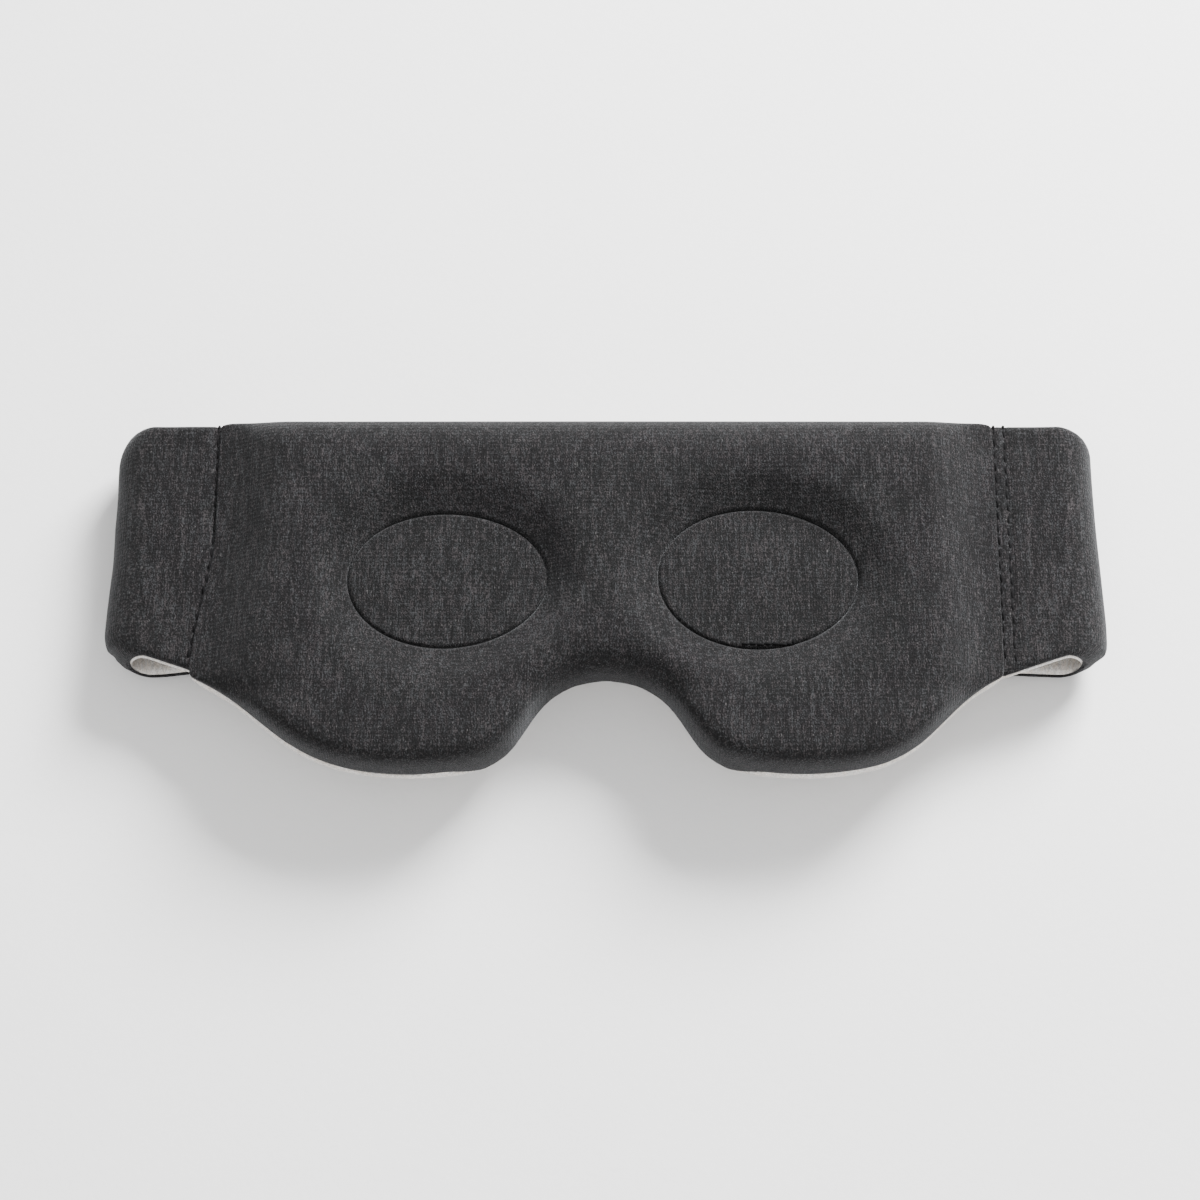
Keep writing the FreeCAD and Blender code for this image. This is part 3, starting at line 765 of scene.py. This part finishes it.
closingSizes = {
    "start": -3.9 * mm,         # the bar's ends, measured across from the oval's middle
    "end": 8.0 * mm,
    "above": 1.15 * mm,         # the bar's height above the oval's foot
    "radius": 0.34 * mm,
    "count": 7,
    "overlap": 1.35,            # each stitch's length, as a share of its step
    "wobble": 0.10 * mm,
    "lift": 0.12 * mm,
    "tickLong": 1.9 * mm,
    "tickRise": 0.6 * mm,
}


def makeClosingStitch():
    # the opening in the right oval's seam, closed by hand: a straight bar and a short tick at its end
    panel = ovalPanels["right"]
    bpy.context.view_layer.update()
    middle, foot = eyeCentres["right"][0], eyeCentres["right"][1] - eyeSizes["tall"]["right"]
    step = (closingSizes["end"] - closingSizes["start"]) / closingSizes["count"]
    marks = []
    for number in range(closingSizes["count"]):
        along = closingSizes["start"] + (number + 0.5) * step
        above = closingSizes["above"] + closingSizes["wobble"] * math.sin(number * 2.3)
        direction = (1, 0.04 * math.sin(number * 1.7), 0)
        marks.append((along, above, direction, step * closingSizes["overlap"]))
    tickAbove = closingSizes["above"] + closingSizes["tickRise"]
    marks.append((closingSizes["end"], tickAbove, (0.12, 1, 0), closingSizes["tickLong"]))
    places = []
    for along, above, direction, long in marks:
        x, y = middle + along, foot + above
        level = heightOn(panel, x, y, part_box("right_eye_panel")[1].z) + closingSizes["lift"]
        places.append((Vector((x, y, level)), direction, (0, 0, 1), long, closingSizes["radius"]))
    return sewRow("rightOvalClosingStitch", places)


sideStitches = {side: makeSideStitches(side) for side in mirrorSides}
ovalThreads = {side: makeOvalThread(side) for side in eyeSides}
closingStitch = makeClosingStitch()
print("seams sewn")


# the closure: a webbing tab with a hook patch, and the loop patch on the left strap

closureSizes = {
    "step": 0.55 * mm,
    "tabInside": 2.5 * mm,      # how far the tab is sewn into the strap
    "tabCorner": 11 * mm,
    "patchCorner": 2 * mm,
    "rib": 1.5 * mm,
    "ribHigh": 0.14 * mm,
    "hookPitch": 1.25 * mm,
    "hookTall": 0.85 * mm,
    "hookRadius": 0.13 * mm,
    "crook": 0.2 * mm,          # radius of the hook's turned head
    "pile": 0.34 * mm,
    "border": 1.6 * mm,         # flat edge of a patch, where its stitches lie
}


def makeSlab(name, low, high, corner, roundStart=True):
    # a flat piece cut with round corners, fine enough for its surface to be shaped
    width, height = high.x - low.x, high.y - low.y
    deselectAll()
    bpy.ops.mesh.primitive_grid_add(x_subdivisions=round(width / closureSizes["step"]),
                                    y_subdivisions=round(height / closureSizes["step"]), size=1)
    slab = bpy.context.object
    points = getPoints(slab)
    points[:, 0] *= width
    points[:, 1] *= height
    inX = np.abs(points[:, 0]) - (width / 2 - corner)
    inY = np.abs(points[:, 1]) - (height / 2 - corner)
    bent = (inX > 0) & (inY > 0) & (roundStart | (points[:, 0] < 0))
    u, v = inX / corner, inY / corner
    newX = width / 2 - corner + corner * u * np.sqrt(np.clip(1 - v ** 2 / 2, 0, 1))
    newY = height / 2 - corner + corner * v * np.sqrt(np.clip(1 - u ** 2 / 2, 0, 1))
    points[:, 0] = np.where(bent, np.sign(points[:, 0]) * newX, points[:, 0]) + (low.x + high.x) / 2
    points[:, 1] = np.where(bent, np.sign(points[:, 1]) * newY, points[:, 1]) + (low.y + high.y) / 2
    points[:, 2] = low.z
    setPoints(slab, points)
    bpy.ops.object.mode_set(mode="EDIT")
    bpy.ops.mesh.select_all(action="SELECT")
    bpy.ops.mesh.extrude_region_move(TRANSFORM_OT_translate={"value": (0, 0, high.z - low.z)})
    bpy.ops.mesh.select_all(action="SELECT")
    bpy.ops.mesh.normals_make_consistent(inside=False)
    bpy.ops.object.mode_set(mode="OBJECT")
    slab.name = slab.data.name = name
    return slab


def fromEdge(points, low, high):
    return np.minimum.reduce([points[:, 0] - low.x, high.x - points[:, 0],
                              points[:, 1] - low.y, high.y - points[:, 1]])


def makeClosureTab():
    low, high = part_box("closure_tab")
    high = high + Vector((closureSizes["tabInside"], 0, 0))
    tab = makeSlab("closureTab", low, high, closureSizes["tabCorner"], roundStart=False)
    points = getPoints(tab)
    rememberCloth(tab)
    ribs = closureSizes["ribHigh"] * np.abs(np.sin(points[:, 1] / closureSizes["rib"] * math.pi))
    edge = fromEdge(points, low, high)
    rolled = 0.2 * mm * np.exp(-(edge / (0.7 * mm)) ** 2)
    points[:, 2] += np.where(points[:, 2] > (low.z + high.z) / 2, 1, -1) * (ribs - rolled - 0.07 * mm)
    setPoints(tab, points)
    shadeSmooth(tab)
    return tab


def makeHook():
    # one hook: a thin stalk that turns over at its head
    deselectAll()
    bpy.ops.mesh.primitive_cylinder_add(vertices=5, radius=closureSizes["hookRadius"], depth=1,
                                        end_fill_type="TRIFAN")
    hook = bpy.context.object
    selectFaces(hook, np.ones(len(hook.data.polygons), bool))
    for level in (-0.2, 0.1, 0.3):
        bpy.ops.mesh.select_all(action="SELECT")
        bpy.ops.mesh.bisect(plane_co=(0, 0, level), plane_no=(0, 0, 1))
    bpy.ops.object.mode_set(mode="OBJECT")
    points = getPoints(hook)
    share = points[:, 2] + 0.5
    bend = np.clip(share - 0.5, 0, 1) * 2 * math.radians(150)
    crook = closureSizes["crook"]
    straight = np.clip(share * 2, 0, 1) * (closureSizes["hookTall"] - crook)
    offset = points[:, 0].copy()
    points[:, 0] = crook * (1 - np.cos(bend)) + offset * np.cos(bend)
    points[:, 2] = straight + crook * np.sin(bend) - offset * np.sin(bend) * 0.6
    setPoints(hook, points)
    return hook


def makeHookPatch():
    low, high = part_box("hook_patch")
    base = Vector((high.x, high.y, high.z - closureSizes["hookTall"]))
    patch = makeSlab("hookPatch", low, base, closureSizes["patchCorner"])
    hook = makeHook()
    pitch, border = closureSizes["hookPitch"], closureSizes["border"]
    points = getPoints(hook)
    points += (low.x + border + 0.5 * mm, low.y + border + 0.5 * mm, base.z - 0.05 * mm)
    setPoints(hook, points)
    for axis, room in ((0, high.x - low.x), (1, high.y - low.y)):
        rows = hook.modifiers.new("Rows", "ARRAY")
        rows.use_relative_offset = False
        rows.use_constant_offset = True
        rows.constant_offset_displace = [pitch if axis == number else 0 for number in range(3)]
        rows.count = int((room - 2 * border - 1 * mm) / pitch) + 1
        applyModifier(hook, "Rows")
    pick(patch, hook)
    bpy.ops.object.join()
    rememberCloth(patch)
    pick(patch)
    bpy.ops.object.shade_smooth_by_angle(angle=math.radians(50))
    return patch


def makeLoopPatch():
    low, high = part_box("loop_patch")
    patch = makeSlab("loopPatch", low, high, closureSizes["patchCorner"])
    rememberCloth(patch)
    points = getPoints(patch)
    under = points[:, 2] < (low.z + high.z) / 2
    inside = ramp(fromEdge(points, low, high), closureSizes["border"] * 0.7, closureSizes["border"] * 1.4)
    fuzz = softNoise(points * (1, 1, 0), 0.9 * mm, 4) + 0.5 * softNoise(points * (1, 1, 0), 2.6 * mm, 6)
    points[:, 2] += under * (closureSizes["pile"] * (1 - inside) - inside * closureSizes["pile"] * fuzz)
    setPoints(patch, points)
    shadeSmooth(patch)
    return patch


def sewPatch(name, node, level, facing):
    # a box of stitches just inside the edge of a patch
    low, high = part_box(node)
    inset = closureSizes["border"] / 2
    corners = [(low.x + inset, low.y + inset), (high.x - inset, low.y + inset),
               (high.x - inset, high.y - inset), (low.x + inset, high.y - inset)]
    places = []
    for number, start in enumerate(corners):
        start, end = Vector((*start, level)), Vector((*corners[(number + 1) % 4], level))
        count = round((end - start).length / threadSizes["patchPitch"])
        for step in range(count):
            middle = start.lerp(end, (step + 0.5) / count)
            places.append((middle, end - start, (0, 0, facing),
                           threadSizes["patchLong"], threadSizes["patchRadius"]))
    return sewRow(name, places)


closureTab = makeClosureTab()
hookPatch = makeHookPatch()
loopPatch = makeLoopPatch()
loopStitches = sewPatch("loopPatchStitches", "loop_patch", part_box("loop_patch")[0].z + 0.25 * mm, -1)
hookStitches = sewPatch("hookPatchStitches", "hook_patch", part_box("hook_patch_stitches")[1].z - 0.02 * mm, -1)
print("closure made")


# materials

class Shade:
    # one socket of a material, so that shader maths reads as an expression
    def __init__(self, tree, socket=None):
        self.tree = tree
        self.socket = socket

    def node(self, kind, settings=None, inputs=None, output=0):
        made = self.tree.nodes.new("ShaderNode" + kind)
        for name, value in (settings or {}).items():
            if name == "stops":
                while len(made.color_ramp.elements) < len(value):
                    made.color_ramp.elements.new(0.5)
                for element, (place, tint) in zip(made.color_ramp.elements, value):
                    element.position = place
                    element.color = (*tint, 1)
            else:
                setattr(made, name, value)
        for name, value in (inputs or {}).items():
            if isinstance(value, Shade):
                self.tree.links.new(value.socket, made.inputs[name])
            else:
                made.inputs[name].default_value = value
        return Shade(self.tree, made.outputs[output] if made.outputs else None)

    def math(self, operation, first, second):
        return self.node("Math", {"operation": operation}, {0: first, 1: second})

    def __add__(self, other):
        return self.math("ADD", self, other)

    def __sub__(self, other):
        return self.math("SUBTRACT", self, other)

    def __rsub__(self, other):
        return self.math("SUBTRACT", other, self)

    def __mul__(self, other):
        return self.math("MULTIPLY", self, other)

    __radd__ = __add__
    __rmul__ = __mul__

    def wave(self, pitch):
        return self.node("Math", {"operation": "SINE"}, {0: self * (2 * math.pi / pitch)})

    def noise(self, cell, detail=2.0, rough=0.5):
        # cell is the size of a blotch along each direction
        place = self.node("VectorMath", {"operation": "MULTIPLY"}, {0: self, 1: [1 / size for size in cell]})
        return self.node("TexNoise", {}, {"Vector": place, "Scale": 1.0,
                                          "Detail": detail, "Roughness": rough})

    def band(self, low, high):
        # 0 below low and 1 above high
        return self.node("MapRange", {"interpolation_type": "SMOOTHSTEP"},
                         {"Value": self, "From Min": low, "From Max": high})

    def tones(self, *stops):
        # the colour that this value has between the stops
        return self.node("ValToRGB", {"stops": stops}, {"Fac": self})

    def blend(self, mode, amount, first, second):
        return self.node("Mix", {"data_type": "RGBA", "blend_type": mode},
                         {0: amount, 6: first, 7: second}, 2)


def newMaterial(name):
    material = bpy.data.materials.new(name)
    material.use_nodes = True
    material.node_tree.nodes.clear()
    return material, Shade(material.node_tree)


def newClothMaterial(name):
    # its pattern follows the cloth's own surface
    material, shade = newMaterial(name)
    return material, shade, shade.node("Attribute", {"attribute_name": "cloth"}, output=1)


def finishMaterial(shade, color, roughness, height, depth, **constants):
    normal = shade.node("Bump", {}, {"Height": height, "Strength": 1.0, "Distance": depth})
    inputs = {"Base Color": color, "Roughness": roughness, "Normal": normal}
    inputs.update({name.replace("_", " "): value for name, value in constants.items()})
    surface = shade.node("BsdfPrincipled", {}, inputs)
    shade.node("OutputMaterial", {}, {"Surface": surface})


coverLook = {
    "dark": (0.0003, 0.0003, 0.0004),
    "middle": (0.0040, 0.0039, 0.0042),
    "light": (0.0260, 0.0254, 0.0262),
    "fleck": (0.07, 0.068, 0.067),
    "warm": (1.07, 0.975, 0.985),
    "cool": (0.965, 1.0, 1.03),
    "knitDeep": 0.14 * mm,
}
liningLook = {
    "dark": (0.34, 0.325, 0.305),
    "middle": (0.50, 0.48, 0.45),
    "light": (0.62, 0.60, 0.57),
    "fleck": (0.20, 0.195, 0.19),
    "warm": (1.03, 0.99, 0.96),
    "cool": (0.98, 0.99, 1.02),
    "knitDeep": 0.10 * mm,
}


knitSizes = {
    "slub": (0.27 * mm, 1.2 * mm, 0.27 * mm),       # each is a blotch's size along the three directions
    "yarn": (0.29 * mm, 0.36 * mm, 0.32 * mm),
    "streak": (0.9 * mm, 7 * mm, 0.9 * mm),
    "cloud": (9 * mm, 14 * mm, 9 * mm),
    "tint": (0.8 * mm, 2.2 * mm, 0.8 * mm),
    "fleck": (0.30 * mm, 0.9 * mm, 0.30 * mm),
    "wale": 0.62 * mm,
    "course": 1.0 * mm,
    "courseBow": 0.10 * mm,
    "stops": {"dark": 0.435, "middle": 0.505, "light": 0.60},
}


def makeKnitMaterial(name, look):
    # heathered jersey: slubs run with the wales, flecks of other fibre lie between
    material, shade, cloth = newClothMaterial(name)
    slubs = cloth.noise(knitSizes["slub"], detail=2.0)
    yarn = cloth.noise(knitSizes["yarn"], detail=2.0, rough=0.6)
    streaks = cloth.noise(knitSizes["streak"], detail=2.0)
    cloudy = cloth.noise(knitSizes["cloud"], detail=2.0)
    x, y = (shade.node("SeparateXYZ", {}, {0: cloth}, output=axis) for axis in (0, 1))
    wales = x.wave(knitSizes["wale"])
    courses = (y + wales * knitSizes["courseBow"]).wave(knitSizes["course"])
    tone = slubs * 0.30 + yarn * 0.52 + streaks * 0.18 + cloudy * 0.08 + courses * 0.010 - 0.04
    color = tone.tones(*[(place, look[step]) for step, place in knitSizes["stops"].items()])
    tint = cloth.noise(knitSizes["tint"]).band(0.42, 0.58)
    cast = shade.blend("MIX", tint, (*look["warm"], 1), (*look["cool"], 1))
    color = shade.blend("MULTIPLY", 1.0, color, cast)
    fleck = cloth.noise(knitSizes["fleck"], detail=0.0).band(0.79, 0.84)
    color = shade.blend("MIX", fleck * 0.6, color, (*look["fleck"], 1))
    height = wales * 0.12 + courses * 0.12 + yarn * 1.1 + slubs * 0.7
    finishMaterial(shade, color, 0.88 + yarn * 0.12, height, look["knitDeep"], Specular_IOR_Level=0.22,
                   Sheen_Weight=0.14, Sheen_Roughness=0.4, Sheen_Tint=(0.75, 0.77, 0.8, 1))
    return material


def makeThreadMaterial():
    material, shade, cloth = newClothMaterial("blackThread")
    twist = cloth.noise((0.12 * mm, 0.3 * mm, 0.12 * mm), detail=2.0)
    color = twist.tones((0.35, (0.0010, 0.0010, 0.0012)), (0.7, (0.005, 0.005, 0.0055)))
    finishMaterial(shade, color, 0.75 + twist * 0.2, twist, 0.08 * mm, Specular_IOR_Level=0.12)
    return material


def makeWebbingMaterial():
    material, shade, cloth = newClothMaterial("webbing")
    ends = cloth.noise((1.1 * mm, 0.3 * mm, 0.3 * mm), detail=2.0)
    worn = cloth.noise((6 * mm, 6 * mm, 6 * mm), detail=3.0)
    color = (ends * 0.8 + worn * 0.2).tones((0.38, (0.006, 0.006, 0.007)), (0.62, (0.035, 0.035, 0.038)))
    finishMaterial(shade, color, 0.55 + ends * 0.3, ends, 0.12 * mm,
                   Specular_IOR_Level=0.25, Sheen_Weight=0.06)
    return material


def makeHookMaterial():
    material, shade, cloth = newClothMaterial("hookTape")
    grain = cloth.noise((0.3 * mm, 0.3 * mm, 0.3 * mm), detail=2.0)
    color = grain.tones((0.3, (0.008, 0.008, 0.009)), (0.7, (0.03, 0.03, 0.032)))
    finishMaterial(shade, color, 0.3 + grain * 0.3, grain, 0.05 * mm, Specular_IOR_Level=0.5)
    return material


def makeLoopMaterial():
    material, shade, cloth = newClothMaterial("loopPile")
    pile = cloth.noise((0.35 * mm, 0.35 * mm, 0.35 * mm), detail=3.0, rough=0.7)
    clumps = cloth.noise((1.6 * mm, 1.6 * mm, 1.6 * mm), detail=2.0)
    color = (pile * 0.7 + clumps * 0.3).tones((0.36, (0.004, 0.004, 0.0045)), (0.66, (0.03, 0.03, 0.032)))
    finishMaterial(shade, color, 0.85 + pile * 0.1, pile * 0.7 + clumps * 0.4, 0.35 * mm,
                   Specular_IOR_Level=0.15, Sheen_Weight=0.12, Sheen_Roughness=0.5)
    return material


coverKnit = makeKnitMaterial("coverKnit", coverLook)
liningKnit = makeKnitMaterial("liningKnit", liningLook)
blackThread = makeThreadMaterial()
webbing = makeWebbingMaterial()
hookTape = makeHookMaterial()
loopPile = makeLoopMaterial()


def dress(piece, material):
    piece.data.materials.clear()
    piece.data.materials.append(material)


# what each piece is made of, stands for and moves with

dress(frontCover, coverKnit)
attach(frontCover, "mask_front")
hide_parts("front_cover", "foam_core")
dress(faceLining, liningKnit)
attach(faceLining, "mask_front")
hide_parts("face_lining")
for side in eyeSides:
    dress(ovalPanels[side], coverKnit)
    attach(ovalPanels[side], "mask_front")
    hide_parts(f"{side}_eye_panel", f"{side}_eye_foam")
    dress(cavityCeilings[side], liningKnit)
    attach(cavityCeilings[side], "mask_front")
    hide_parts(f"{side}_eye_cup_lining")
    dress(ovalThreads[side], blackThread)
    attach(ovalThreads[side], "mask_front")
    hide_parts(f"{side}_eye_seam_thread")
    dress(sideStitches[side], blackThread)
    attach(sideStitches[side], "mask_front")
    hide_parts(f"{side}_side_stitches")
dress(closingStitch, blackThread)
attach(closingStitch, "mask_front")

# each band's cover and lining take their knits, the CAD parts they replace are hidden, and their places are
# baked in
for side, (cover, lining) in bands.items():
    dress(cover, coverKnit)
    dress(lining, liningKnit)
    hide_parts(*[f"{side}_{part}_{layer}" for part in ("wing", "fold", "strap")
                         for layer in ("cover", "foam")])
    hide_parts(*[f"{side}_{part}_lining" for part in ("wing", "fold", "strap")])
    for skin in (cover, lining):
        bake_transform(skin)

dress(closureTab, webbing)
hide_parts("closure_tab")
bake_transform(closureTab)
dress(hookPatch, hookTape)
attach(hookPatch, "closure")
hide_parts("hook_patch")
dress(hookStitches, blackThread)
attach(hookStitches, "closure")
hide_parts("hook_patch_stitches")
dress(loopPatch, loopPile)
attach(loopPatch, "left_strap")
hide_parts("loop_patch")
dress(loopStitches, blackThread)
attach(loopStitches, "left_strap")
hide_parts("loop_patch_stitches")
print("pieces dressed and placed")


# floor, light and camera

studio = {
    "worldLight": 1.0,
    "keyPower": 52.0,
    "keyPlace": (0.50, 0.72, 0.62),
    "keySize": 0.5,
    "fillPower": 7.0,
    "fillPlace": (0.15, -1.0, 0.32),
    "fillSize": 0.9,
    "floorWide": 8,
    "floorLevel": -0.05 * mm,
    "sensor": 36,
    "lens": 83.6,
    "lookAt": (-1.4 * mm, 0, 12 * mm),
    "elevation": 70,
    "distance": 652 * mm,
}


def makeFloor():
    deselectAll()
    bpy.ops.mesh.primitive_plane_add(size=studio["floorWide"], location=(0, 0, studio["floorLevel"]))
    floor = bpy.context.object
    floor.name = "studioFloor"
    material, shade = newMaterial("palePaper")
    place = shade.node("TexCoord", output=3)
    paper = place.noise((2 * mm, 2 * mm, 2 * mm), detail=3.0)
    color = paper.tones((0.0, (0.93, 0.93, 0.93)), (1.0, (0.96, 0.96, 0.96)))
    finishMaterial(shade, color, 0.9, paper, 0.05 * mm, Specular_IOR_Level=0.1)
    floor.data.materials.append(material)


def aimAt(obj, target):
    away = obj.location - Vector(target)
    obj.rotation_euler = away.to_track_quat("Z", "Y").to_euler()


def makeLight(name, place, size, power):
    data = bpy.data.lights.new(name, "AREA")
    data.size = size
    data.energy = power
    light = bpy.data.objects.new(name, data)
    bpy.context.scene.collection.objects.link(light)
    light.location = place
    aimAt(light, studio["lookAt"])


makeFloor()
makeLight("keyLight", studio["keyPlace"], studio["keySize"], studio["keyPower"])
makeLight("fillLight", studio["fillPlace"], studio["fillSize"], studio["fillPower"])
world = bpy.data.worlds.new("studioWorld")
world.use_nodes = True
world.node_tree.nodes["Background"].inputs["Color"].default_value = (1.0, 0.995, 0.99, 1)
world.node_tree.nodes["Background"].inputs["Strength"].default_value = studio["worldLight"]
bpy.context.scene.world = world

camera = bpy.data.objects.new("camera", bpy.data.cameras.new("camera"))
bpy.context.scene.collection.objects.link(camera)
camera.data.lens = studio["lens"]
camera.data.sensor_width = studio["sensor"]
tilt = math.radians(studio["elevation"])
camera.location = Vector(studio["lookAt"]) + studio["distance"] * Vector((0, -math.cos(tilt), math.sin(tilt)))
aimAt(camera, studio["lookAt"])
bpy.context.scene.camera = camera
